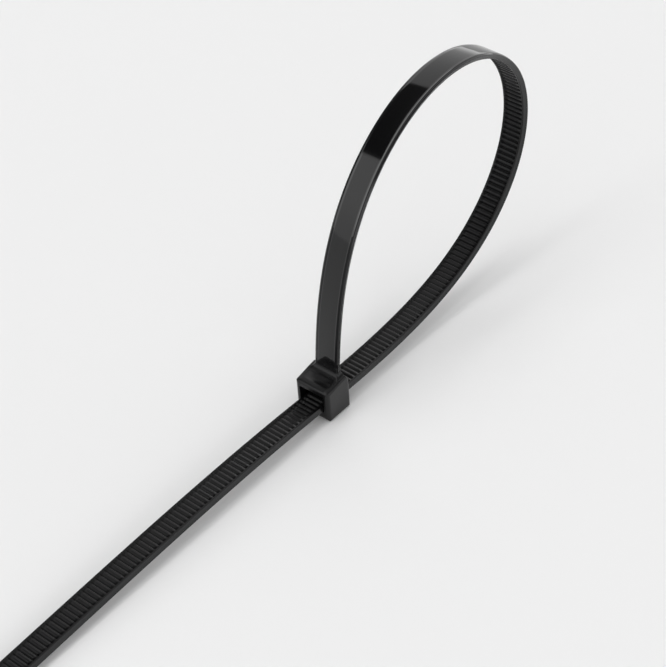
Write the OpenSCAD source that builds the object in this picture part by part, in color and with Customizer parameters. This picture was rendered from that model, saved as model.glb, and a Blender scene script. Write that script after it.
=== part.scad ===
// Self-locking cable tie, closed into a loop, standing on its head.
// One moulded piece. Millimetres, +Z up. The loop lies in the XZ plane.
// The origin is on the floor, under the middle of the head: the tail runs out
// along -X and the loop stands over +X. The outlines below are drawn from the
// last tooth of the tail, and the finished tie is shifted back by head_mid.

/* [Strap] */
// Width of the strap
strap_w = 5; // [4.4:0.1:5.6]
// Thickness of the strap, measured over its rails
strap_t = 1.2; // [1.1:0.05:1.4]
// Width of the smooth rail along each edge
rail_w = 0.4; // [0.35:0.05:0.6]
// Distance from one tooth to the next
tooth_pitch = 1.08; // [1:0.02:1.2]
// Depth of the tooth grooves below the rails
tooth_depth = 0.5; // [0.4:0.02:0.56]
// How far the tops of the teeth lie below the rails
tooth_sink = 0.08; // [0.04:0.02:0.12]

/* [Loop] */
// Length of strap in the loop, from the slot back to the root
loop_len = 175; // [150:1:200]
// Length of smooth strap between the head and the first tooth
neck_len = 7; // [5:0.5:12]
// Downward slope of the strap where it leaves the slot, in degrees
loop_dip = 1.8; // [0:0.1:3]
// How much of the bend gathers opposite the head
bend_far = 0.645; // [0.6:0.005:0.7]
// How much of it leans to the rising side
bend_lean = 0.03; // [0:0.005:0.05]
// How much of it spreads to both flanks
bend_flank = 0.125; // [0.1:0.005:0.15]
// How much of it twists from one flank to the other
bend_skew = 0.092; // [0.06:0.002:0.12]

/* [Tail] */
// Length of the tail beyond the head
tail_len = 110; // [80:1:130]
// Upward slope of the tail where it leaves the head, in degrees
tail_lift = 2.9; // [1.5:0.1:3.5]
// Downward slope of the tail where its tip lands, in degrees
tail_land = 0.8; // [0:0.1:1.5]
// Length of the narrowing tip
tip_len = 14; // [10:1:18]
// Width of the tip at its end
tip_w = 2.4; // [2:0.1:3]

/* [Head] */
// Length of the head along the slot
head_len = 6.7; // [6.5:0.1:7.4]
// Distance from the last tooth of the tail to the head's exit face
head_x = 0.25; // [0.1:0.05:0.5]
// Thickness of the wall on each side of the slot
side_wall = 1.1; // [0.9:0.05:1.3]
// Height of the head at its exit edge
head_h = 7.6; // [7.4:0.1:8]
// How far the exit and entry faces lean back over the tail, in degrees
head_lean = 4.5; // [0:0.5:6]
// How far the top rises from the exit towards the strap's root, in degrees
head_rise = 8.8; // [4:0.2:10]
// Thickness of the floor under the slot
floor_wall = 2.35; // [2.2:0.05:2.5]
// Thickness of the roof over the slot's exit
roof_wall = 1.35; // [1.2:0.05:1.5]
// Radius of the head's long edges
edge_r = 0.6; // [0.4:0.05:0.7]
// Radius of the head's four upright edges
corner_r = 0.9; // [0.6:0.05:1]
// Radius of the lower edge under the exit
foot_r = 1.5; // [0.8:0.1:1.8]
// Radius of the shoulder between the top and the entry face
shoulder_r = 2.2; // [1.8:0.1:2.4]
// Distance from the last tooth of the tail to the middle of the strap's root
root_x = 4.95; // [4.7:0.05:5.1]
// Radius of the fillets between the strap's root and the head
neck_r = 1.2; // [0.9:0.1:1.3]
// Width of the rim around the dished top
rim_w = 0.8; // [0.6:0.05:0.9]
// Depth of the dished top
dish_depth = 0.25; // [0.15:0.05:0.35]

/* [Slot] */
// Play between the strap's edges and the slot's sides
side_play = 0.2; // [0.15:0.05:0.4]
// Play under the strap, and over it at the entry
slot_play = 0.13; // [0.1:0.01:0.2]
// Depth of the lead-in funnel on the entry face
funnel_depth = 0.9; // [0.6:0.05:1.1]
// How far the funnel's mouth opens beyond the slot
funnel_open = 0.45; // [0.3:0.05:0.5]

/* [Pawl] */
// Thickness of the pawl's hinge
hinge_t = 0.8; // [0.6:0.05:1]
// Thickness of the pawl over the teeth at its tip
tip_t = 0.75; // [0.6:0.05:0.9]
// Number of teeth under the pawl
pawl_teeth = 2; // [1:1:3]
// Thickness of the lip between the pawl's chamber and the funnel
lip_t = 0.7; // [0.6:0.05:0.8]
// Play between the pawl and the strap's rails and teeth
pawl_play = 0.06; // [0.05:0.01:0.1]

/* [Hidden] */
$fn = 48;
tie_black = [0.13, 0.13, 0.14];
eps = 0.01;
// The strap's middle line runs level through the slot at this height
slot_mid = floor_wall + slot_play + strap_t / 2;
slot_w = strap_w + 2 * side_play;
head_w = slot_w + 2 * side_wall;
head_mid = head_x + head_len / 2;
bed_w = strap_w - 2 * rail_w;
groove = strap_t / 2 - tooth_depth;
crest = strap_t / 2 - tooth_sink;

// The strap's middle line, in steps of one tooth

through_steps = ceil((head_x + head_len) / tooth_pitch);
loop_steps = round(loop_len / tooth_pitch);
tail_steps = round(tail_len / tooth_pitch);
neck_steps = ceil(neck_len / tooth_pitch);
tip_steps = ceil(tip_len / tooth_pitch);
tail_run = tail_steps * tooth_pitch;
sweep = 270 + loop_dip;
root = [root_x, head_h];

// Heading of the loop, t from 0 at the slot to 1 at the root: the sum of an even
// turn and four waves that gather the bend where the free strap takes it
function heading(t) = -loop_dip + sweep * (t
    - bend_far * sin(360 * t) / (2 * PI)
    - bend_lean * (1 - cos(360 * t)) / (2 * PI)
    - bend_flank * sin(720 * t) / (4 * PI)
    - bend_skew * (1 - cos(720 * t)) / (4 * PI));

// The loop as the headings lead it, starting beyond the entry face
free_loop = [
    for (i = 0, p = [through_steps * tooth_pitch, slot_mid];
         i <= loop_steps;
         h = heading((i + 0.5) / loop_steps),
         p = p + tooth_pitch * [cos(h), sin(h)],
         i = i + 1) p
];
// What is missing at the root is shared out evenly, so the loop always closes
miss = root - free_loop[loop_steps];
loop_line = [for (i = [0:loop_steps]) free_loop[i] + miss * i / loop_steps];

// Height of the tail's middle line at the distance u from the head: it rises a
// little, bends down under its own curl and lands on its tip
function tail_z(u) = let (t = u / tail_run)
    slot_mid * (1 + 2 * t) * (1 - t) * (1 - t)
    + tan(tail_lift) * tail_run * t * (1 - t) * (1 - t)
    + strap_t / 2 * t * t * (3 - 2 * t)
    + tan(tail_land) * tail_run * t * t * (1 - t);
tail_line = [for (i = [tail_steps:-1:1]) [-i * tooth_pitch, tail_z(i * tooth_pitch)]];
slot_line = [for (i = [0:through_steps - 1]) [i * tooth_pitch, slot_mid]];
// The whole strap from its tip to the root, with one last step into the head
line = concat(tail_line, slot_line, loop_line, [root - [0, roof_wall]]);
last = len(line) - 1;
first_tooth = tip_steps + 2;
last_tooth = last - 1 - neck_steps;

// Side of the middle line that faces into the loop, square to its neighbours
function unit(v) = v / norm(v);
function left(v) = [-v[1], v[0]];
function side(i) = left(unit(line[min(i + 1, last)] - line[max(i - 1, 0)]));
function off(i, d) = line[i] + d * side(i);
// A point on the step from i to i + 1, the share f along it
function on_step(i, f, d) = (1 - f) * off(i, d) + f * off(i + 1, d);
// One tooth: a ramp that the pawl climbs, a narrow top and a steep locking face
function tooth(i) = [
    on_step(i, 0.08, groove), on_step(i, 0.62, crest),
    on_step(i, 0.86, crest), on_step(i, 0.94, groove)
];

outer_line = [for (i = [last:-1:0]) off(i, -strap_t / 2)];
rail_line = [for (i = [0:last]) off(i, strap_t / 2)];
bed_line = concat(
    [for (i = [0:first_tooth]) off(i, crest)],
    [for (i = [first_tooth:last_tooth]) each tooth(i)],
    [for (i = [last_tooth + 1:last]) off(i, crest)]
);

// Extrudes an outline drawn in X and Z, evenly to both sides of the middle plane
module across(w) {
    rotate([90, 0, 0])
        linear_extrude(w, center = true)
            children();
}

// A rectangle with round corners, as plain squares and circles
module rounded(x0, y0, x1, y1, r) {
    translate([x0 + r, y0]) square([x1 - x0 - 2 * r, y1 - y0]);
    translate([x0, y0 + r]) square([x1 - x0, y1 - y0 - 2 * r]);
    for (x = [x0 + r, x1 - r])
        for (y = [y0 + r, y1 - r])
            translate([x, y]) circle(r);
}

// Strap: two rails with the toothed bed between them, narrowing at the tip
module strap() {
    difference() {
        union() {
            across(bed_w + 2 * eps) polygon(concat(outer_line, bed_line));
            for (s = [-1, 1])
                translate([0, s * (strap_w - rail_w) / 2, 0])
                    across(rail_w) polygon(concat(outer_line, rail_line));
        }
        tip_cut();
    }
}

// What the taper takes away on both sides of the tip
module tip_cut() {
    for (s = [0, 1])
        mirror([0, s, 0])
            translate([-tail_run, 0, -strap_t])
                linear_extrude(4 * strap_t)
                    polygon([[-1, tip_w / 2], [0, tip_w / 2], [tip_len, strap_w / 2],
                             [tip_len, strap_w], [-1, strap_w]]);
}

// Points on an arc round mid, from one angle to another
function arc(mid, r, from, to, n = 10) = [
    for (k = [0:n]) let (a = from + (to - from) * k / n) mid + r * [cos(a), sin(a)]
];

// The arc of radius r that takes the place of the corner b between a and c
function round_off(a, b, c, r) = let (
    u = unit(a - b), v = unit(c - b), half = acos(u * v) / 2,
    mid = b + unit(u + v) * r / sin(half),
    start = b + u * r / tan(half) - mid,
    from = atan2(start[1], start[0]),
    turn = (cross(b - a, c - b) > 0 ? 1 : -1) * (180 - 2 * half)
) arc(mid, r, from, from + turn);

// Hollow of the radius neck_r from a round edge, of radius r about mid, up to a
// wall. It dips neck_sink into that edge, so that the two arcs cross.
neck_sink = 0.04;
function hollow_mid(mid, r, wall) = let (
    reach = r + neck_r - neck_sink, gap = wall + neck_r - mid[0]
) [wall + neck_r, mid[1] + sqrt(reach * reach - gap * gap)];
function hollow(mid, r, wall) = let (
    centre = hollow_mid(mid, r, wall), down = mid - centre
) arc(centre, neck_r, atan2(down[1], down[0]) + 360, 180);
function hollow_meet(mid, r, wall) = let (
    up = hollow_mid(mid, r, wall) - mid
) atan2(up[1], up[0]);

// Lines of the head's side view: x of the leaning exit face, z of the rising top
function exit_x(z) = head_x - (z - slot_mid) * tan(head_lean);
function top_z(x) = head_h + (x - head_x) * tan(head_rise);
// Where the top meets a leaning face that stands the distance d behind the exit
function top_corner(d) = let (
    z = (head_h + d * tan(head_rise) + slot_mid * tan(head_lean) * tan(head_rise))
        / (1 + tan(head_lean) * tan(head_rise))
) [exit_x(z) + d, z];

// Outline seen from the side: a round foot under the exit, a large shoulder over
// the entry, and the neck, whose walls lie a little inside the strap's faces
under = 0.03;
neck_top = top_z(root_x) + 1.8;
foot_exit = [exit_x(0), 0];
foot_entry = [exit_x(0) + head_len, 0];
top_exit = top_corner(0);
top_entry = top_corner(head_len);
neck_front = root_x - strap_t / 2 + under;
neck_back = root_x + strap_t / 2 - under;
shoulder_half = (90 + head_lean - head_rise) / 2;
shoulder_mid = top_entry + shoulder_r / sin(shoulder_half)
    * unit(unit(foot_entry - top_entry) + unit(top_exit - top_entry));
head_side = concat(
    round_off(top_exit, foot_exit, foot_entry, foot_r),
    round_off(foot_exit, foot_entry, top_entry, edge_r),
    arc(shoulder_mid, shoulder_r, head_lean, hollow_meet(shoulder_mid, shoulder_r, neck_back)),
    hollow(shoulder_mid, shoulder_r, neck_back),
    [[neck_back, neck_top], [neck_front, neck_top]],
    round_off([neck_front, neck_top], [neck_front, top_z(neck_front)], top_exit, neck_r),
    round_off([neck_front, top_z(neck_front)], top_exit, foot_exit, edge_r)
);

// Half of the outline seen along the slot, with the neck on top
edge_mid = [head_w / 2 - edge_r, head_h - edge_r];
side_wall_y = strap_w / 2 - under;
half_end = concat(
    [[head_w / 2, -head_h]],
    arc(edge_mid, edge_r, 0, hollow_meet(edge_mid, edge_r, side_wall_y)),
    hollow(edge_mid, edge_r, side_wall_y),
    [[side_wall_y, 2 * head_h]]
);

// Head block with the neck on it: what four outlines have in common. The one for
// the upright edges leans with the faces, the one for the top edges rises with it.
// Both reach a little past the side view, so that no two faces coincide.
skim = 0.02;
module head_block() {
    intersection() {
        across(head_w) polygon(head_side);
        translate([head_x, 0, slot_mid])
            rotate([0, -head_lean, 0])
                translate([0, 0, -2 * head_h])
                    linear_extrude(5 * head_h)
                        rounded(-skim, -head_w / 2, head_len * cos(head_lean) + skim, head_w / 2,
                                corner_r);
        on_top() translate([-head_len, 0, skim]) rotate([90, 0, 90])
            linear_extrude(3 * head_len)
                polygon(concat(half_end, mirrored(half_end)));
        rotate([90, 0, 90])
            linear_extrude(2 * head_len)
                rounded(-head_w / 2, 0, head_w / 2, 4 * head_h, edge_r);
    }
}

// The same points on the other side, in reverse order
function mirrored(points) = [for (i = [len(points) - 1:-1:0]) [-points[i][0], points[i][1]]];

// Tilts what is drawn on a level head so that it follows the rising top
module on_top() {
    translate([head_x, 0, head_h])
        rotate([0, -head_rise, 0])
            translate([0, 0, -head_h])
                children();
}

// What the slot, its funnel and the dished top take out of the head
module head_cuts() {
    cut_top = head_h - roof_wall;
    guide_top = slot_mid + strap_t / 2 + slot_play;
    // Passage for the strap
    translate([-1, -slot_w / 2, floor_wall])
        cube([head_x + head_len + 2, slot_w, guide_top - floor_wall]);
    // Chamber of the pawl, open at the exit
    across(slot_w)
        polygon([[-1, floor_wall], [chamber_end, floor_wall], [chamber_end, hinge_z],
                 [chamber_end - 0.4, cut_top], [-1, cut_top]]);
    // Funnel with eight corners on the entry face
    funnel();
    // Dished top inside its rim
    on_top()
        translate([0, 0, head_h - dish_depth])
            linear_extrude(1)
                rounded(rim_w, -head_w / 2 + rim_w, root_x - head_x - strap_t / 2 - neck_r,
                        head_w / 2 - rim_w, edge_r);
}

module funnel() {
    z0 = floor_wall;
    z1 = slot_mid + strap_t / 2 + slot_play;
    x0 = head_x + head_len - funnel_depth;
    reach = funnel_depth + 1;
    spread = funnel_open * reach / funnel_depth;
    intersection() {
        across(head_w)
            polygon([[x0, z0], [x0 + reach, z0 - spread], [x0 + reach, z1 + spread * 2.2],
                     [x0, z1]]);
        linear_extrude(head_h)
            polygon([[x0, -slot_w / 2], [x0 + reach, -slot_w / 2 - spread],
                     [x0 + reach, slot_w / 2 + spread], [x0, slot_w / 2]]);
        rotate([90, 0, 90])
            linear_extrude(head_x + head_len + reach)
                polygon(eight_corners(slot_w / 2 + funnel_open, z0 - funnel_open,
                                      z1 + funnel_open * 2.2, funnel_open));
    }
}

// An upright rectangle from y = -w to w with its four corners cut off by c
function eight_corners(w, z0, z1, c) = [
    [-w, z0 + c], [-w + c, z0], [w - c, z0], [w, z0 + c],
    [w, z1 - c], [w - c, z1], [-w + c, z1], [-w, z1 - c]
];

// Pawl: a tongue on a thin hinge, from the chamber's end wall down to the teeth
heel_x = 4 * tooth_pitch;
chamber_end = head_x + head_len - funnel_depth - lip_t;
hinge_z = head_h - roof_wall - 1.2;
pawl_w = bed_w - 4 * pawl_play;
module pawl() {
    bed_z = slot_mid + groove + pawl_play;
    rail_z = slot_mid + strap_t / 2 + pawl_play;
    tip_x = heel_x - pawl_teeth * tooth_pitch;
    across(pawl_w)
        polygon(concat(
            [[tip_x, rail_z + tip_t]],
            [for (i = [0:pawl_teeth - 1]) each pawl_tooth(tip_x + i * tooth_pitch, bed_z)],
            [[heel_x, rail_z + 0.1], [chamber_end - 0.2, hinge_z - hinge_t / 2],
             [chamber_end + 0.2, hinge_z - hinge_t / 2],
             [chamber_end + 0.2, hinge_z + hinge_t / 2],
             [chamber_end - 0.5, hinge_z + hinge_t / 2]]
        ));
}

// A pawl tooth fills the gap between two strap teeth, less the play
function pawl_tooth(x, z) = [
    [x - 0.06 * tooth_pitch + pawl_play, z + tooth_depth - tooth_sink],
    [x - 0.06 * tooth_pitch + pawl_play, z],
    [x + 0.08 * tooth_pitch, z],
    [x + 0.62 * tooth_pitch - pawl_play, z + tooth_depth - tooth_sink]
];

module cable_tie() {
    color(tie_black)
        translate([-head_mid, 0, 0]) {
            strap();
            difference() {
                head_block();
                head_cuts();
            }
            pawl();
        }
}

cable_tie();
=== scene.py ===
# %% [markdown]
# # A cable tie, closed into a loop
#
# The real thing is one piece of moulded nylon: a flat strap with teeth on one
# side, and a small square head with a sprung tongue inside. Pushed through its
# own head, the strap locks and stands up as an open loop. This lesson dresses
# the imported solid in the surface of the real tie. The solid gives the frame and
# the outside box. Everything drawn of the tie stays inside that box.

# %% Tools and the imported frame
import math

import bpy
import bmesh
import numpy as np
from mathutils import Matrix, Vector


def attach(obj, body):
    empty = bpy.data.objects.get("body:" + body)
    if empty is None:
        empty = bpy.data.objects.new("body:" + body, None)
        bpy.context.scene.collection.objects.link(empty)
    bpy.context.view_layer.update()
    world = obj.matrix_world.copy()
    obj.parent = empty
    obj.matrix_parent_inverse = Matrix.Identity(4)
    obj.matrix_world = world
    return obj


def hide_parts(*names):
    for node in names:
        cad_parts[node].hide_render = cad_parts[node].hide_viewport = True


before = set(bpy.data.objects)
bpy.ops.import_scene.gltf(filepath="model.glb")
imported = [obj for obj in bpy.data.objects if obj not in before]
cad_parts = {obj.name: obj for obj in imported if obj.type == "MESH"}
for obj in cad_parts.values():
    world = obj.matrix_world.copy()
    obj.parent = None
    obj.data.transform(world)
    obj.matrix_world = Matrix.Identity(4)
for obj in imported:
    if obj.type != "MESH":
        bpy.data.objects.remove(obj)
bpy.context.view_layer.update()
MM = 0.001

# %% [markdown]
# ## The driving sizes
#
# A tie is drawn from few numbers: the strap's width and thickness, the pitch of
# its teeth, and the size of the head. They are the same ones that drive the
# solid, in millimetres. What follows is worked out from them, with a few small
# sizes of its own that are named where they are first needed.

# %% Sizes of the strap and the head, in millimetres
strap_w, strap_t = 5.0, 1.2
rail_w, tooth_pitch, tooth_depth, tooth_sink = 0.4, 1.08, 0.5, 0.08
loop_len, tail_len, neck_len, tip_len, tip_w = 175, 110, 7, 14, 2.4
head_len, head_x, head_h, head_lean, head_rise = 6.7, 0.25, 7.6, 4.5, 8.8
side_wall, floor_wall, roof_wall = 1.1, 2.35, 1.35
edge_r, corner_r, foot_r, shoulder_r, neck_r = 0.6, 0.9, 1.5, 2.2, 1.2
root_x, rim_w, dish_depth = 4.95, 0.8, 0.25
side_play, slot_play, funnel_depth, funnel_open = 0.2, 0.13, 0.9, 0.45

slot_mid = floor_wall + slot_play + strap_t / 2
slot_w = strap_w + 2 * side_play
head_w = slot_w + 2 * side_wall
head_mid = head_x + head_len / 2
bed_half = strap_w / 2 - rail_w
groove, crest = strap_t / 2 - tooth_depth, strap_t / 2 - tooth_sink
through_steps = math.ceil((head_x + head_len) / tooth_pitch)
loop_steps = round(loop_len / tooth_pitch)
tail_steps = round(tail_len / tooth_pitch)
strap_steps = tail_steps + through_steps + loop_steps
tail_run = tail_steps * tooth_pitch
print(f"head {head_w:.2f} mm wide, {strap_steps} steps of one tooth in the strap")

# %% [markdown]
# ## The line that the strap follows
#
# The strap has no drawn curve of its own: it takes the one its stiffness gives
# it. The tail leaves the head a little upwards and comes down on its tip. In the
# loop, the direction of the strap turns by three quarters of a circle, fast at
# the far end and slowly near the head. A curve object could be bent by hand to
# look like that. Here the turning is a formula, the same as in the solid, and
# the points are added up from it, so that the looks sit exactly on the solid.

# %% How the loop turns and how the tail comes down
# bend_far turns the far end faster than the ends at the head, bend_flank adds
# turning half way along each side, and bend_lean and bend_skew make the falling
# side of the loop differ from the rising one.
bend_far, bend_lean, bend_flank, bend_skew = 0.645, 0.03, 0.125, 0.092
loop_dip, tail_lift, tail_land = 1.8, 2.9, 0.8


def heading(t):
    """Direction of the strap in the loop, t from 0 at the slot to 1 at the root."""
    turn = 2 * math.pi * t
    share = t - bend_far * np.sin(turn) / (2 * math.pi) - bend_lean * (1 - np.cos(turn)) / (2 * math.pi)
    share -= bend_flank * np.sin(2 * turn) / (4 * math.pi)
    share -= bend_skew * (1 - np.cos(2 * turn)) / (4 * math.pi)
    return np.radians(-loop_dip + (270 + loop_dip) * share)


def tail_height(u):
    """Height of the tail's middle at the distance u from the head."""
    t = u / tail_run
    lift, land = (math.tan(math.radians(a)) * tail_run for a in (tail_lift, tail_land))
    from_head = slot_mid * (1 + 2 * t) * (1 - t) ** 2 + lift * t * (1 - t) ** 2
    onto_floor = strap_t / 2 * t * t * (3 - 2 * t) + land * t * t * (1 - t)
    return from_head + onto_floor


print(f"half way, the loop heads at {math.degrees(heading(0.5)):.0f} degrees")
print(f"half way, the tail is {tail_height(tail_run / 2):.2f} mm high")

# %% Points along the strap
FINE, root_share = 12, 0.6


def strap_line():
    """Points along the strap from the tail's tip to the root, FINE of them to a tooth."""
    u = np.arange(tail_steps * FINE, 0, -1) * tooth_pitch / FINE
    tail = np.stack([-u, tail_height(u)], 1)
    x = np.arange(through_steps * FINE) * tooth_pitch / FINE
    slot = np.stack([x, np.full(len(x), slot_mid)], 1)
    n = loop_steps * FINE
    h = heading((np.arange(n) + 0.5) / n)
    step = np.stack([np.cos(h), np.sin(h)], 1) * tooth_pitch / FINE
    start = np.array([[through_steps * tooth_pitch, slot_mid]])
    loop = np.concatenate([start, start + np.cumsum(step, 0)])
    root = np.array([root_x, head_h])
    loop += (root - loop[-1]) * np.arange(n + 1)[:, None] / n
    end = root - np.array([[0, roof_wall * root_share]])
    return np.concatenate([tail, slot, loop, end])


line = strap_line()
print(f"{len(line)} points, loop up to {line[:, 1].max() + strap_t / 2:.2f} mm")

# %% [markdown]
# ## Stations along the strap
#
# A swept surface needs to know where its rings lie. Between two teeth the bed
# is deep, then a ramp climbs to a flat top, and a steep face drops back: that
# face is what the tongue in the head holds on to. The tops and the gaps take
# about half of the pitch each, which is the ladder that the eye sees. Eight
# rings to a tooth are enough to give each corner its small moulded round. The
# teeth stop before the tip and before the neck, where the bed is flat. The last
# ring lies inside the head, so that no gap can show at the root.

# %% Rings: where each lies, and how high the bed is there
tooth_rings = [(0.0, 0.0), (0.10, 0.03), (0.26, 0.50), (0.42, 0.95),
               (0.50, 1.0), (0.86, 1.0), (0.91, 0.85), (0.96, 0.08)]
plain_rings = [(k / 6, 1.0) for k in range(6)]
first_tooth = math.ceil(tip_len / tooth_pitch) + 2
last_tooth = strap_steps - math.ceil(neck_len / tooth_pitch)
into_head = 0.4
stations, bed = [], []
for step in range(strap_steps):
    toothed = first_tooth <= step <= last_tooth
    for share, lift in tooth_rings if toothed else plain_rings:
        stations.append(step + share)
        bed.append(groove + (crest - groove) * lift)
stations.append(strap_steps + into_head)
bed.append(crest)
stations, bed = np.array(stations), np.array(bed)
print(f"{len(stations)} rings, {last_tooth - first_tooth + 1} teeth")

# %% [markdown]
# ## Where each ring stands
#
# Each ring stands on the middle line, square to it. The direction comes from
# neighbouring points and is averaged over nine of them, because the shine of
# the outer face would show every small kink. Towards the tip the rings get
# narrower, and the last half millimetre is round.

# %% Place, direction and half width of each ring
index = np.clip(stations * FINE, 0, len(line) - 1)


def at_stations(values):
    """Pairs of values along the line, read off at the rings."""
    return np.stack([np.interp(index, np.arange(len(line)), values[:, k]) for k in (0, 1)], 1)


middle = at_stations(line)
slope = np.concatenate([np.gradient(line[:-1], axis=0), [[0, -1]]])
average = np.ones(9) / 9
slope = np.stack([np.convolve(np.pad(slope[:, k], 4, mode="edge"), average, "valid") for k in (0, 1)], 1)
along = at_stations(slope)
along /= np.linalg.norm(along, axis=1)[:, None]
inward = np.stack([-along[:, 1], along[:, 0]], 1)

tip_round, far_away = 0.5, 1000
from_tip = np.where(stations < tail_steps, middle[:, 0] + tail_run, far_away)
narrowing = tip_w / 2 + (strap_w - tip_w) / 2 * np.clip(from_tip, 0, None) / tip_len
half_width = np.minimum(strap_w / 2, narrowing)
tip_share = np.clip(from_tip / tip_round, 0, 1)
half_width -= tip_round * (1 - np.sqrt(1 - (1 - tip_share) ** 2))
print(f"half width from {half_width.min():.2f} at the tip to {half_width.max():.2f}")

# %% [markdown]
# ## The section of the strap
#
# Across, the strap is a shallow trough. Its outer face is flat only in the
# middle: towards each edge it falls off in a shallow bevel and a steeper one,
# and a round corner leads into the side, as on a tie that shall not cut into
# cables. The sides lean in towards the teeth, because the mould opens on that
# side, so the strap's width is the mean of its two faces. The rails are narrow,
# and the toothed bed lies between them. A flat box with bevelled edges would be
# quicker to make, but the thin lines of light that run along a real strap come
# from just these small slopes.

# %% Sizes of the section
half_w, half_t, edge_round, side_lean = strap_w / 2, strap_t / 2, 0.06, 0.18
wide_half, top_half = half_w + side_lean, half_w - side_lean
bed_side, bed_part = top_half - rail_w, 1.1
flat_half, bevel_end, steep_end = 1.80, 2.24, 2.60
ease_w, ease_n = 0.16, 0.011
crease_in, crease_out, crease_n = 0.05, 0.12, 0.007
bevel_angle, steep_angle, side_from = (math.radians(a) for a in (8, 20, 70))
bevel_n = -half_t + (bevel_end - flat_half - ease_w / 2) * math.tan(bevel_angle)
steep_n = bevel_n + (steep_end - bevel_end) * math.tan(steep_angle)
corner_round = (wide_half - steep_end) / (1 - math.sin(steep_angle))
corner_mid = steep_n + corner_round * math.cos(steep_angle)
print(f"the bevels are {steep_n + half_t:.2f} mm deep, the corner has a radius of {corner_round:.2f}")

# %% [markdown]
# ## One ring, and which finish follows each point
#
# Half a section is enough, because the other half is its mirror image. Each
# point names the finish of the stretch after it, so the surface knows from the
# start which faces are the polished outer face, its bevel, the sides or the
# bed. The crease between the two bevels was never polished and is as dull as
# the bed, which draws a thin dark line beside the bright one.

# %% Half of the section: distance from the middle, distance inwards, finish
side_ring = [
    (0.0, -half_t, "outer"),
    (flat_half, -half_t, "edge"),
    (flat_half + ease_w, -half_t + ease_n, "bevel"),
    (bevel_end - crease_in, bevel_n - crease_n, "crease"),
    (bevel_end + crease_out, bevel_n + crease_out * math.tan(steep_angle), "outer"),
]
for k in range(7):
    a = steep_angle + (math.pi / 2 - steep_angle) * k / 6
    y, n = wide_half - corner_round * (1 - math.sin(a)), corner_mid - corner_round * math.cos(a)
    side_ring.append((y, n, "outer" if a < side_from else "rail"))
third = edge_round / 3
side_ring += [
    (wide_half - third, corner_mid + 2 * third, "rail"),
    (top_half + third / 2, half_t - 3 * edge_round, "rail"),
    (top_half - third / 2, half_t - edge_round, "rail"),
    (top_half - edge_round, half_t - third, "bed"),
    (top_half - 2 * edge_round, half_t, "bed"),
    (bed_side + edge_round, half_t, "bed"),
    (bed_side + third * 3 / 4, half_t - third, "bed"),
    (bed_side - third / 4, half_t - edge_round, "bed"),
]
bed_ring = [(bed_side - third, "bed"), (bed_part, "bed"), (0.0, "bed")]


def ring_points(k):
    """The closed ring at station k, as points in millimetres, from the outer face's middle round."""
    half = [(y, n) for y, n, _ in side_ring] + [(y, bed[k]) for y, _ in bed_ring]
    whole = half + [(-y, n) for y, n in half[-2:0:-1]]
    narrow = half_width[k] / (strap_w / 2)
    p = middle[k] + np.outer([n for _, n in whole], inward[k])
    return np.stack([p[:, 0] - head_mid, [y * narrow for y, _ in whole], p[:, 1]], 1)


print(f"one ring has {len(ring_points(0))} points")

# %% [markdown]
# ## The strap as a swept skin
#
# An extruded curve could not lift the bed tooth by tooth. So the skin is a grid
# of points: one closed ring at each station, joined to the next by four-cornered
# faces. Near the root most of the bevel is dull, so the line along the edge
# turns from bright to dark there. Smooth shading alone would make the narrow
# flats look puffed up. Normals weighted by the size of the faces keep them flat.

# %% Skin of the strap
slot_of = {"outer": 0, "edge": 1, "bevel": 1, "rail": 2, "bed": 3, "crease": 3}
dull_steps = 28


def strap_mesh():
    """All rings, joined by faces that know their finish, with a cap at each end."""
    rings = np.stack([ring_points(k) for k in range(len(stations))])
    count = rings.shape[1]
    points = [tuple(p) for p in (rings * MM).reshape(-1, 3)]
    kinds = [f for _, _, f in side_ring] + [f for _, f in bed_ring]
    half = len(kinds) - 1
    kinds = kinds[:half] + kinds[:half][::-1]
    faces, slots = [], []
    for k in range(len(rings) - 1):
        for j in range(count):
            a, b = k * count + j, k * count + (j + 1) % count
            faces.append((a, a + count, b + count, b))
            dull = kinds[j] == "bevel" and stations[k] >= strap_steps - dull_steps
            slots.append(slot_of["bed" if dull else kinds[j]])
    last = (len(rings) - 1) * count
    faces += [tuple(range(count)), tuple(range(last + count - 1, last - 1, -1))]
    slots += [slot_of["rail"]] * 2
    mesh = bpy.data.meshes.new("tie_strap")
    mesh.from_pydata(points, [], faces)
    mesh.polygons.foreach_set("material_index", slots)
    mesh.validate()
    return mesh


tie_strap = bpy.data.objects.new("tie_strap", strap_mesh())
bpy.context.scene.collection.objects.link(tie_strap)
tie_strap.data.shade_smooth()
even = tie_strap.modifiers.new("even_normals", "WEIGHTED_NORMAL")
even.keep_sharp = True
strap_faces = tie_strap.data.polygons
print(f"strap: {len(strap_faces)} faces, {sum(len(f.vertices) - 2 for f in strap_faces)} triangles")

# %% [markdown]
# ## The head as four outlines and what is cut out of them
#
# The head is a small moulded block with round edges. Seen from the side, its end
# faces lean back a little over the tail, its top rises towards the strap's
# root, a large shoulder lies over the entry, and hollow fillets run from the
# strap's root into the head. A block like that is what extruded outlines have in
# common: one from the side, one from above that leans with the faces, one along
# the strap that rises with the top, and a level one for the foot. The slot, the
# chamber of the tongue and the eight-cornered funnel are cut out with extruded
# outlines too.

# %% Outlines with round corners
def arc(mid, r, start, end, steps=14):
    """Points on an arc round mid, from start to end in degrees."""
    turn = np.radians(np.linspace(start, end, steps + 1))
    return [(mid[0] + r * math.cos(a), mid[1] + r * math.sin(a)) for a in turn]


def round_mid(a, b, c, r):
    """Middle of the arc of radius r in the corner b, both directions from b, and half the corner's angle."""
    a, b, c = (np.array(p, float) for p in (a, b, c))
    u, v = (a - b) / np.linalg.norm(a - b), (c - b) / np.linalg.norm(c - b)
    half = math.acos(u @ v) / 2
    return b + (u + v) / np.linalg.norm(u + v) * r / math.sin(half), u, v, half


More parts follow.
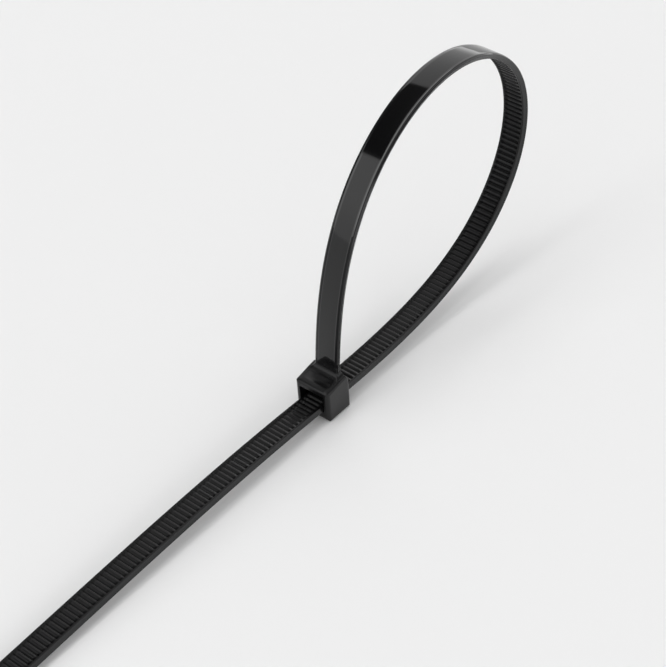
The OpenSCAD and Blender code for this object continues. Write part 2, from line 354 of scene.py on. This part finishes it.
def round_off(a, b, c, r):
    """The arc of radius r that takes the place of the corner b between a and c."""
    mid, u, v, half = round_mid(a, b, c, r)
    start = np.array(b) + u * r / math.tan(half) - mid
    angle = math.degrees(math.atan2(start[1], start[0]))
    side = 1 if u[1] * v[0] - u[0] * v[1] > 0 else -1
    return arc(mid, r, angle, angle + side * (180 - 2 * math.degrees(half)))


def rounded(x0, y0, x1, y1, r):
    """A rectangle with four round corners."""
    left, right, low, high = x0 + r, x1 - r, y0 + r, y1 - r
    corners = [((right, low), 270), ((right, high), 0), ((left, high), 90), ((left, low), 180)]
    return [p for mid, a in corners for p in arc(mid, r, a, a + 90)]


def hollow(mid, r, wall, sink=0.05):
    """Where a round edge of radius r about mid ends, and the hollow arc from there up to a wall."""
    reach, gap = r + neck_r - sink, wall + neck_r - mid[0]
    centre = (wall + neck_r, mid[1] + math.sqrt(reach * reach - gap * gap))
    foot = math.degrees(math.atan2(mid[1] - centre[1], mid[0] - centre[0])) % 360
    meet = math.degrees(math.atan2(centre[1] - mid[1], centre[0] - mid[0]))
    return meet, arc(centre, neck_r, foot, 180)


foot_outline = rounded(-head_w / 2, 0, head_w / 2, 4 * head_h, edge_r)
print(f"outline of the foot: {len(foot_outline)} points")

# %% The outline from the side
lean, rise = (math.tan(math.radians(a)) for a in (head_lean, head_rise))


def exit_x(z):
    """Where the leaning exit face is at the height z."""
    return head_x - (z - slot_mid) * lean


def top_z(x):
    """How high the rising top is at x."""
    return head_h + (x - head_x) * rise


def top_corner(d):
    """Where the top meets a leaning face that stands the distance d behind the exit."""
    z = (head_h + d * rise + slot_mid * lean * rise) / (1 + lean * rise)
    return exit_x(z) + d, z


under, neck_rise = 0.03, 1.8
neck_top = top_z(root_x) + neck_rise
foot_exit, foot_entry = (exit_x(0), 0), (exit_x(0) + head_len, 0)
top_exit, top_entry = top_corner(0), top_corner(head_len)
neck_front, neck_back = root_x - strap_t / 2 + under, root_x + strap_t / 2 - under
neck_foot = (neck_front, top_z(neck_front))
shoulder_mid = round_mid(foot_entry, top_entry, top_exit, shoulder_r)[0]
side_meet, side_hollow = hollow(shoulder_mid, shoulder_r, neck_back)
side_outline = round_off(top_exit, foot_exit, foot_entry, foot_r)
side_outline += round_off(foot_exit, foot_entry, top_entry, edge_r)
side_outline += arc(shoulder_mid, shoulder_r, head_lean, side_meet, 24) + side_hollow
side_outline += [(neck_back, neck_top), (neck_front, neck_top)]
side_outline += round_off((neck_front, neck_top), neck_foot, top_exit, neck_r)
side_outline += round_off(neck_foot, top_exit, foot_exit, edge_r)
print(f"outline from the side: {len(side_outline)} points")

# %% The outlines along the strap and from above
end_mid, neck_side = (head_w / 2 - edge_r, head_h - edge_r), strap_w / 2 - under
end_meet, end_hollow = hollow(end_mid, edge_r, neck_side)
right_half = [(head_w / 2, -head_h)] + arc(end_mid, edge_r, 0, end_meet) + end_hollow
right_half += [(neck_side, 2 * head_h)]
end_outline = right_half + [(-y, z) for y, z in reversed(right_half)]

skim = 0.02
plan_end = head_len * math.cos(math.radians(head_lean)) + skim
plan_outline = rounded(-skim, -head_w / 2, plan_end, head_w / 2, corner_r)
print(f"outlines along the strap and from above: {len(end_outline)} and {len(plan_outline)} points")


# %% Extruding an outline
def prism(name, outline, place, near, far):
    """Extrudes an outline from near to far; place turns its two numbers and the third into x, y, z."""
    build = bmesh.new()
    ends = [[build.verts.new(place(a, b, c)) for a, b in outline] for c in (near, far)]
    n = len(outline)
    build.faces.new(ends[0])
    build.faces.new(list(reversed(ends[1])))
    for i in range(n):
        j = (i + 1) % n
        build.faces.new((ends[0][i], ends[1][i], ends[1][j], ends[0][j]))
    bmesh.ops.recalc_face_normals(build, faces=build.faces)
    return built(name, build)


def built(name, build):
    """Turns what was built into an object of the scene."""
    mesh = bpy.data.meshes.new(name)
    build.to_mesh(mesh)
    build.free()
    piece = bpy.data.objects.new(name, mesh)
    bpy.context.scene.collection.objects.link(piece)
    return piece


def from_side(a, b, c):
    """For an outline of x and z that is extruded across the strap."""
    return (a, c, b)


def from_end(a, b, c):
    """For an outline of y and z that is extruded along the strap."""
    return (c, a, b)


def from_above(a, b, c):
    """For an outline of x and y that is extruded upwards."""
    return (a, b, c)


tie_head = prism("tie_head", side_outline, from_side, -head_w / 2, head_w / 2)
print(f"head from the side: {len(tie_head.data.vertices)} points")


# %% Cutting it to the other outlines
def settle(piece):
    """Replaces the mesh of a piece by what its modifiers make of it."""
    made = bpy.data.meshes.new_from_object(piece.evaluated_get(bpy.context.evaluated_depsgraph_get()))
    piece.modifiers.clear()
    piece.data = made
    return piece


def carve(piece, tool, how):
    """INTERSECT, DIFFERENCE or UNION of a piece with a tool that is then put away."""
    step = piece.modifiers.new(how.lower(), "BOOLEAN")
    step.operation, step.solver, step.object = how, "EXACT", tool
    settle(piece)
    bpy.data.objects.remove(tool)
    return piece


def tilted(tool, degrees, pivot):
    """Turns a tool about the line across the strap through pivot; upwards towards the entry."""
    x, z = pivot
    turn = Matrix.Rotation(-math.radians(degrees), 4, "Y")
    tool.data.transform(Matrix.Translation((x, 0, z)) @ turn @ Matrix.Translation((0, 0, -z)))
    return tool


before, beyond = -1, head_x + head_len + 1
upright = prism("plan", plan_outline, from_above, -2 * head_h, 3 * head_h)
carve(tie_head, tilted(upright, head_lean, (head_x, slot_mid)), "INTERSECT")
topped = prism("end", end_outline, from_end, -head_len, 2 * head_len)
carve(tie_head, tilted(topped, head_rise, (head_x, head_h)), "INTERSECT")
carve(tie_head, prism("foot", foot_outline, from_end, before, 2 * head_len), "INTERSECT")
print(f"head block: {len(tie_head.data.vertices)} points")

# %% [markdown]
# ## The dished top
#
# The top of the real head is not flat: inside a narrow rim it sinks a quarter
# of a millimetre like a shallow bowl, which shows as a dark field in a paler
# frame. A pocket with upright walls would look machined. So the cutter is a
# grid of points whose underside is lifted towards the rim in a smooth curve.

# %% Cutting the dish
dish_steps, dish_lip, dish_slope, dish_room = 32, 0.015, 1.3, 0.5


def dish_tool():
    """A block with a bulging underside that presses the dish into the head's top."""
    x0, x1 = rim_w, root_x - head_x - strap_t / 2 - neck_r
    y1, n = head_w / 2 - rim_w, dish_steps
    build = bmesh.new()
    grid = {}
    for i in range(n + 1):
        for j in range(n + 1):
            a, b = 2 * i / n - 1, 2 * j / n - 1
            sink = dish_depth * (1 - a * a) ** dish_slope * (1 - b ** 4) ** dish_slope - dish_lip
            x, y = x0 + (x1 - x0) * (a + 1) / 2, y1 * b
            grid[i, j, 0] = build.verts.new((x, y, head_h - sink))
            grid[i, j, 1] = build.verts.new((x, y, head_h + dish_room))
    for i in range(n):
        for j in range(n):
            corners = ((i, j), (i + 1, j), (i + 1, j + 1), (i, j + 1))
            for level in (0, 1):
                build.faces.new([grid[(*c, level)] for c in corners])
    rim = [(i, 0) for i in range(n)] + [(n, j) for j in range(n)]
    rim += [(i, n) for i in range(n, 0, -1)] + [(0, j) for j in range(n, 0, -1)]
    for a, b in zip(rim, rim[1:] + rim[:1]):
        build.faces.new([grid[(*a, 0)], grid[(*b, 0)], grid[(*b, 1)], grid[(*a, 1)]])
    bmesh.ops.recalc_face_normals(build, faces=build.faces)
    return built("dish", build)


carve(tie_head, tilted(dish_tool(), head_rise, (head_x, head_h)), "DIFFERENCE")
print(f"after the dish: {len(tie_head.data.vertices)} points")

# %% [markdown]
# ## Slot, chamber and funnel
#
# The strap runs through a flat passage. Over it lies the chamber of the tongue,
# open at the exit, which is the dark opening in the picture. The entry flares
# into a funnel with eight corners, which finds the strap's tip. Most of it is
# hidden from most sides, but a part is looked at from all of them.

# %% Cutting the passage and the chamber
hinge_wall, hinge_drop, chamber_slant = 0.7, 1.2, 0.4
chamber_end = head_x + head_len - funnel_depth - hinge_wall
guide_top = slot_mid + strap_t / 2 + slot_play
cut_top = head_h - roof_wall
hinge_z = cut_top - hinge_drop
passage = [(before, floor_wall), (beyond, floor_wall), (beyond, guide_top), (before, guide_top)]
chamber = [(before, floor_wall), (chamber_end, floor_wall), (chamber_end, hinge_z)]
chamber += [(chamber_end - chamber_slant, cut_top), (before, cut_top)]
carve(tie_head, prism("passage", passage, from_side, -slot_w / 2, slot_w / 2), "DIFFERENCE")
carve(tie_head, prism("chamber", chamber, from_side, -slot_w / 2, slot_w / 2), "DIFFERENCE")
print(f"after passage and chamber: {len(tie_head.data.vertices)} points")

# %% Cutting the funnel
funnel_up = 2.2


def funnel_tool():
    """The flare over the entry: steeper upwards, and with its corners cut off."""
    x0, reach = head_x + head_len - funnel_depth, funnel_depth + 1
    x1, spread = x0 + reach, funnel_open * reach / funnel_depth
    flare = [(x0, floor_wall), (x1, floor_wall - spread)]
    flare += [(x1, guide_top + spread * funnel_up), (x0, guide_top)]
    plan = [(x0, -slot_w / 2), (x1, -slot_w / 2 - spread), (x1, slot_w / 2 + spread), (x0, slot_w / 2)]
    low, high = floor_wall - funnel_open, guide_top + funnel_open * funnel_up
    w, c = slot_w / 2 + funnel_open, funnel_open
    mouth = [(-w, low + c), (-w + c, low), (w - c, low), (w, low + c)]
    mouth += [(w, high - c), (w - c, high), (-w + c, high), (-w, high - c)]
    tool = prism("funnel", flare, from_side, -head_w / 2, head_w / 2)
    carve(tool, prism("flare", plan, from_above, 0, head_h), "INTERSECT")
    return carve(tool, prism("mouth", mouth, from_end, 0, beyond + reach), "INTERSECT")


carve(tie_head, funnel_tool(), "DIFFERENCE")
print(f"after the funnel: {len(tie_head.data.vertices)} points")

# %% [markdown]
# ## The tongue
#
# The tongue is moulded in one with the head and hangs on a thin hinge at the
# end of the chamber. Two teeth on its underside stand in the gaps between the
# strap's teeth, with a little play. Their steep faces look the same way as
# those of the strap, so the strap slides in and can't slide back. One outline
# holds hinge, back and teeth, and its extrusion is joined to the head.

# %% The tongue with its two teeth
pawl_play, pawl_teeth, tip_t, hinge_t, heel_x = 0.06, 2, 0.75, 0.8, 4 * tooth_pitch
hinge_root, hinge_reach, heel_gap = 0.2, 0.5, 0.1
toe_share, ramp_share = 0.06, 0.42
bed_z, rail_z = slot_mid + groove + pawl_play, slot_mid + strap_t / 2 + pawl_play
tongue_tip = heel_x - pawl_teeth * tooth_pitch
tooth_rise = tooth_depth - tooth_sink
lock = pawl_play - toe_share * tooth_pitch
toe, ramp_end = toe_share * tooth_pitch, ramp_share * tooth_pitch - pawl_play
tongue = [(tongue_tip, rail_z + tip_t)]
for i in range(pawl_teeth):
    x = tongue_tip + i * tooth_pitch
    tongue += [(x + lock, bed_z + tooth_rise), (x + lock, bed_z)]
    tongue += [(x + toe, bed_z), (x + ramp_end, bed_z + tooth_rise)]
hinge_low, hinge_high = hinge_z - hinge_t / 2, hinge_z + hinge_t / 2
tongue += [(heel_x, rail_z + heel_gap), (chamber_end - hinge_root, hinge_low)]
tongue += [(chamber_end + hinge_root, hinge_low), (chamber_end + hinge_root, hinge_high)]
tongue += [(chamber_end - hinge_reach, hinge_high)]
pawl_half = bed_half - 2 * pawl_play
carve(tie_head, prism("tongue", tongue, from_side, -pawl_half, pawl_half), "UNION")
print(f"with the tongue: {len(tie_head.data.vertices)} points")

# %% [markdown]
# ## Moulded edges
#
# Booleans leave knife edges, and no moulded part has them: the steel of the
# mould is rounded a little, and the nylon shrinks as it sets. A bevel modifier
# fails on a cut-up mesh like this one. Remeshing into small even cells and
# relaxing them rounds every edge by about the size of a cell, in one go.

# %% Remesh and relax the head
cell = 0.09
grid = tie_head.modifiers.new("cells", "REMESH")
grid.mode, grid.voxel_size, grid.use_smooth_shade = "VOXEL", cell, True
relax = tie_head.modifiers.new("relax", "SMOOTH")
relax.factor, relax.iterations = 0.5, 5
settle(tie_head)
print(f"head after relaxing: {len(tie_head.data.vertices)} points")

# %% [markdown]
# ## The rim of the dish
#
# Left and right of the dish, the real rim isn't level: it falls off outwards by
# up to nine degrees, so it mirrors another part of the room than the dish and
# looks paler. The outlines above could carry that slope only with one more cut
# that would have to miss the root. It is simpler to press the points down here:
# the further out a point lies, the more, and only near the top. The slope fades
# out downwards and towards the root, so that nothing gets a step. The height
# from which it sets in climbs faster than the top does, so the slope is fullest
# near the exit.

# %% The rim falls off to both sides
rim_fall, rim_from, rim_end = math.tan(math.radians(9)), 2.75, 3.9
fade, fade_below, fade_climb = 0.9, 1.3, 0.42
spots = np.empty(3 * len(tie_head.data.vertices))
tie_head.data.vertices.foreach_get("co", spots)
spots = spots.reshape(-1, 3)
fade_line = head_h + (spots[:, 0] - head_x) * fade_climb - fade_below
high = np.clip((spots[:, 2] - fade_line) / fade, 0, 1)
ahead = np.clip((rim_end - spots[:, 0]) / fade, 0, 1)
fall = np.clip(np.abs(spots[:, 1]) - rim_from, 0, None) * rim_fall * high * ahead
spots[:, 2] -= fall
tie_head.data.vertices.foreach_set("co", spots.ravel())
tie_head.data.transform(Matrix.Scale(MM, 4) @ Matrix.Translation((-head_mid, 0, 0)))
tie_head.data.shade_smooth()
print(f"head: {len(tie_head.data.polygons)} faces, the rim falls by up to {fall.max():.2f} mm")

# %% [markdown]
# ## Black nylon
#
# The nylon is filled with carbon black, so almost no light comes back from
# inside it. What is seen is the shine of its skin, and the mould decides that.
# All finishes are one recipe: the same dark colour, with roughness and tiny
# bumps that change over the surface by noise at the scale of the real marks. A
# scanned picture of plastic could be wrapped round instead, but it would blur
# on parts this small, and noise has no seams.

# %% A recipe for moulded nylon
BLACK, NYLON_IOR = (0.0040, 0.0040, 0.0043), 1.49
UM = 1e-6


def nylon(name, rough, grain_mm, grain_um, wave_mm, wave_um, gloss, cloud=0.15):
    """Black nylon with a fine grain and long waves; rough is the lowest and highest roughness."""
    made = bpy.data.materials.new(name)
    made.use_nodes = True
    nodes, links = made.node_tree.nodes, made.node_tree.links
    skin = nodes["Principled BSDF"]
    skin.inputs["IOR"].default_value = NYLON_IOR
    skin.inputs["Specular IOR Level"].default_value = gloss
    place = nodes.new("ShaderNodeTexCoord")

    def noise(size_mm, detail):
        n = nodes.new("ShaderNodeTexNoise")
        n.inputs["Scale"].default_value = 1 / (size_mm * MM)
        n.inputs["Detail"].default_value = detail
        links.new(place.outputs["Object"], n.inputs["Vector"])
        return n

    grain, wave, stain = noise(grain_mm, 3), noise(wave_mm, 1), noise(wave_mm * 2.5, 4)
    shine = nodes.new("ShaderNodeMapRange")
    shine.inputs["From Min"].default_value, shine.inputs["From Max"].default_value = 0.3, 0.7
    shine.inputs["To Min"].default_value, shine.inputs["To Max"].default_value = rough
    links.new(stain.outputs["Fac"], shine.inputs["Value"])
    links.new(shine.outputs["Result"], skin.inputs["Roughness"])
    tone = nodes.new("ShaderNodeMix")
    tone.data_type = "RGBA"
    tone.inputs["A"].default_value = (*[c * (1 - cloud) for c in BLACK], 1)
    tone.inputs["B"].default_value = (*[c * (1 + cloud) for c in BLACK], 1)
    links.new(stain.outputs["Fac"], tone.inputs["Factor"])
    links.new(tone.outputs["Result"], skin.inputs["Base Color"])
    fine, long = nodes.new("ShaderNodeBump"), nodes.new("ShaderNodeBump")
    fine.inputs["Distance"].default_value = grain_um * UM
    long.inputs["Distance"].default_value = wave_um * UM
    links.new(grain.outputs["Fac"], fine.inputs["Height"])
    links.new(wave.outputs["Fac"], long.inputs["Height"])
    links.new(long.outputs["Normal"], fine.inputs["Normal"])
    links.new(fine.outputs["Normal"], skin.inputs["Normal"])
    return made


polished = nylon("nylon_polished", (0.06, 0.10), 0.30, 0.15, 5.0, 5.0, gloss=0.44)
print("first finish:", polished.name, "with", len(polished.node_tree.nodes), "nodes")

# %% [markdown]
# ## Five finishes of the mould
#
# The outer face comes from a polished plate and mirrors the room, with the
# slight waves of a surface that shrank, and its bevel was polished brightest.
# The sides are satin, the bed of teeth is duller, and the head has the fine
# grain of a spark-eroded mould. The strap takes four of them in the order that
# its faces already name, the head takes the fifth.

# %% The other finishes
bright = nylon("nylon_bright", (0.06, 0.10), 0.30, 0.15, 5.0, 5.0, gloss=0.75)
satin = nylon("nylon_satin", (0.20, 0.30), 0.20, 1.0, 3.0, 5.0, gloss=0.42)
toothed = nylon("nylon_toothed", (0.25, 0.36), 0.18, 2.0, 2.0, 5.0, gloss=0.2)
grained = nylon("nylon_grained", (0.27, 0.36), 0.14, 2.0, 2.5, 6.0, gloss=0.28)
for finish in (polished, bright, satin, toothed):
    tie_strap.data.materials.append(finish)
tie_head.data.materials.append(grained)
print("finishes:", [m.name for m in (polished, bright, satin, toothed, grained)])

# %% [markdown]
# ## The floor
#
# The tie stands on a wide sheet of pale paper without any shine. A disc that
# ends far outside the picture is enough: the tie mirrors it in the lower half
# of the loop, and it takes the shadow.

# %% A disc of pale paper
PAPER = 0.863
paper = bpy.data.materials.new("paper")
paper.use_nodes = True
sheet = paper.node_tree.nodes["Principled BSDF"]
sheet.inputs["Base Color"].default_value = (PAPER, PAPER, PAPER, 1)
sheet.inputs["Roughness"].default_value = 0.9
sheet.inputs["Specular IOR Level"].default_value = 0.0

FLOOR_R = 6.0
ground = bmesh.new()
bmesh.ops.create_circle(ground, cap_ends=True, segments=96, radius=FLOOR_R)
floor = built("floor", ground)
floor.data.materials.append(paper)
print(f"floor: a disc of {FLOOR_R} m")

# %% [markdown]
# ## The room, drawn on the world
#
# Black plastic shows its room rather than itself, so the room is the important
# part, and it is all that lights the scene. A room could be built from lamps
# and boards. Here it is drawn on the world as cards with soft edges. Each edge
# is a plane through the tie: which side of it a direction lies on is one dot
# product, and a smooth step makes the edge as soft as wanted.

# %% Tools for drawing cards
world = bpy.data.worlds.new("room")
bpy.context.scene.world = world
world.use_nodes = True
w_nodes, w_links = world.node_tree.nodes, world.node_tree.links
w_nodes.clear()
look = w_nodes.new("ShaderNodeTexCoord")


def calc(how, *values):
    """One math node; each value is a number or another node's output."""
    node = w_nodes.new("ShaderNodeMath")
    node.operation = how
    for socket, value in zip(node.inputs, values):
        if isinstance(value, (int, float)):
            socket.default_value = value
        else:
            w_links.new(value, socket)
    return node.outputs[0]


def beyond_plane(normal, soft, start=0.0):
    """0 on one side of a plane through the tie and 1 on the other, with an edge as wide as soft."""
    dot = w_nodes.new("ShaderNodeVectorMath")
    dot.operation = "DOT_PRODUCT"
    dot.inputs[1].default_value = normal
    w_links.new(look.outputs["Generated"], dot.inputs[0])
    step = w_nodes.new("ShaderNodeMapRange")
    step.interpolation_type = "SMOOTHSTEP"
    step.inputs["From Min"].default_value, step.inputs["From Max"].default_value = start - soft, start + soft
    w_links.new(dot.outputs["Value"], step.inputs["Value"])
    return step.outputs["Result"]


def common(*edges):
    """What several edges enclose together."""
    whole = edges[0]
    for edge in edges[1:]:
        whole = calc("MULTIPLY", whole, edge)
    return whole


def blend(low, high, share):
    """low where share is 0 and high where it is 1."""
    return calc("ADD", calc("MULTIPLY", low, calc("SUBTRACT", 1.0, share)), calc("MULTIPLY", high, share))


print("tools for the world are ready, nodes in it so far:", len(w_nodes))

# %% [markdown]
# ## Walls
#
# Pale walls left and right draw the greys of the strap, each with another level
# above than below. The front is pale too, but dim from a certain height on,
# which keeps the steeper bevel dark. A small dark card straight behind the tie
# darkens the strap's far edge.

# %% Left, right, front and back
LEFT_LOW, LEFT_HIGH, RIGHT_LOW, RIGHT_HIGH = 1.60, 1.98, 2.90, 1.50
FRONT_LOW, FRONT_HIGH, BACK = 2.05, 0.42, 0.2
left_wall = blend(LEFT_LOW, LEFT_HIGH, beyond_plane((0, 0, 1), soft=0.19, start=0.19))
right_wall = blend(RIGHT_LOW, RIGHT_HIGH, beyond_plane((0, 0, 1), soft=0.12, start=0.10))
light = blend(left_wall, right_wall, beyond_plane((1, 0, 0), soft=0.25))
front = blend(FRONT_LOW, FRONT_HIGH, beyond_plane((0, 0, 1), soft=0.07, start=0.57))
light = blend(light, front, beyond_plane((0, -1, 0), soft=0.05, start=0.12))
light = blend(light, BACK, beyond_plane((0, 1, 0), soft=0.04, start=0.84))
print("walls from", BACK, "to", RIGHT_LOW)

# %% [markdown]
# ## A dark gap and a bright strip
#
# The dark gap between the walls, high at the back, is the black patch on the
# loop: its two upright edges are what ends the patch square to the strap. A
# narrow bright strip runs overhead in the plane of the loop and draws the thin
# line along the bevel of the strap's edge.

# %% The gap and the strip
GAP_LEFT, GAP_RIGHT, STRIP = 0.01, 0.08, 3.7
gap_left, gap_right, wall_top, gap_start = 0.84, 0.41, 0.70, 0.45
strip_from, strip_to, strip_right, strip_left = 0.17, 0.25, 1.0, 0.16
gap = common(
    beyond_plane((1, 0, gap_left), soft=0.02),
    beyond_plane((-1, 0, gap_right), soft=0.02),
    beyond_plane((0, -wall_top, 1), soft=0.03),
    beyond_plane((0, 1, -gap_start), soft=0.02),
)
gap_light = blend(GAP_LEFT, GAP_RIGHT, beyond_plane((1, 0, 0), soft=0.48, start=-0.12))
light = blend(light, gap_light, gap)
strip = common(
    beyond_plane((0, 1, 0), soft=0.02, start=strip_from),
    beyond_plane((0, -1, 0), soft=0.02, start=-strip_to),
    beyond_plane((-strip_right, 0, 1), soft=0.05),
    beyond_plane((strip_left, 0, 1), soft=0.03),
)
light = blend(light, STRIP, strip)
room = w_nodes.new("ShaderNodeBackground")
w_links.new(light, room.inputs["Strength"])
w_out = w_nodes.new("ShaderNodeOutputWorld")
w_links.new(room.outputs[0], w_out.inputs["Surface"])
print("room lit from", GAP_LEFT, "to", STRIP, "with", len(w_nodes), "nodes")

# %% [markdown]
# ## The camera
#
# The place of the camera was found by fitting the tie's outline to the
# photograph: a long lens, about 37 cm away, looking down on the tie. It is
# given here as a position and three angles.

# %% Camera
VIEW_AZ, VIEW_EL, VIEW_ROLL = -51.507, 41.457, -0.212
VIEW_FROM = (-206.321, -166.342, 252.043)
LONG_SIDE_PX, FOCAL_PX = 667, 1978.493
camera_data = bpy.data.cameras.new("camera")
camera_data.sensor_width = 36.0
camera_data.lens = FOCAL_PX * camera_data.sensor_width / LONG_SIDE_PX
camera_data.clip_start, camera_data.clip_end = 0.01, 20
camera = bpy.data.objects.new("camera", camera_data)
az, el, roll = (math.radians(a) for a in (VIEW_AZ, VIEW_EL, VIEW_ROLL))
back = Vector((math.sin(az) * math.cos(el), -math.cos(az) * math.cos(el), math.sin(el)))
level = Vector((math.cos(az), math.sin(az), 0))
up = back.cross(level)
right, up = level * math.cos(roll) + up * math.sin(roll), up * math.cos(roll) - level * math.sin(roll)
turn = Matrix((right, up, back)).transposed().to_4x4()
camera.matrix_world = Matrix.Translation(Vector(VIEW_FROM) * MM) @ turn
bpy.context.scene.collection.objects.link(camera)
bpy.context.scene.camera = camera
print(f"lens {camera_data.lens:.1f} mm")

# %% [markdown]
# ## Riding on the one body
#
# Both meshes are one moulded piece in reality, so both ride on the one body and
# stand for the one solid.

# %% Ride, replace, finish
for piece in (tie_strap, tie_head):
    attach(piece, "root")
    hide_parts("cable_tie")
bpy.context.scene.view_settings.view_transform = "Standard"
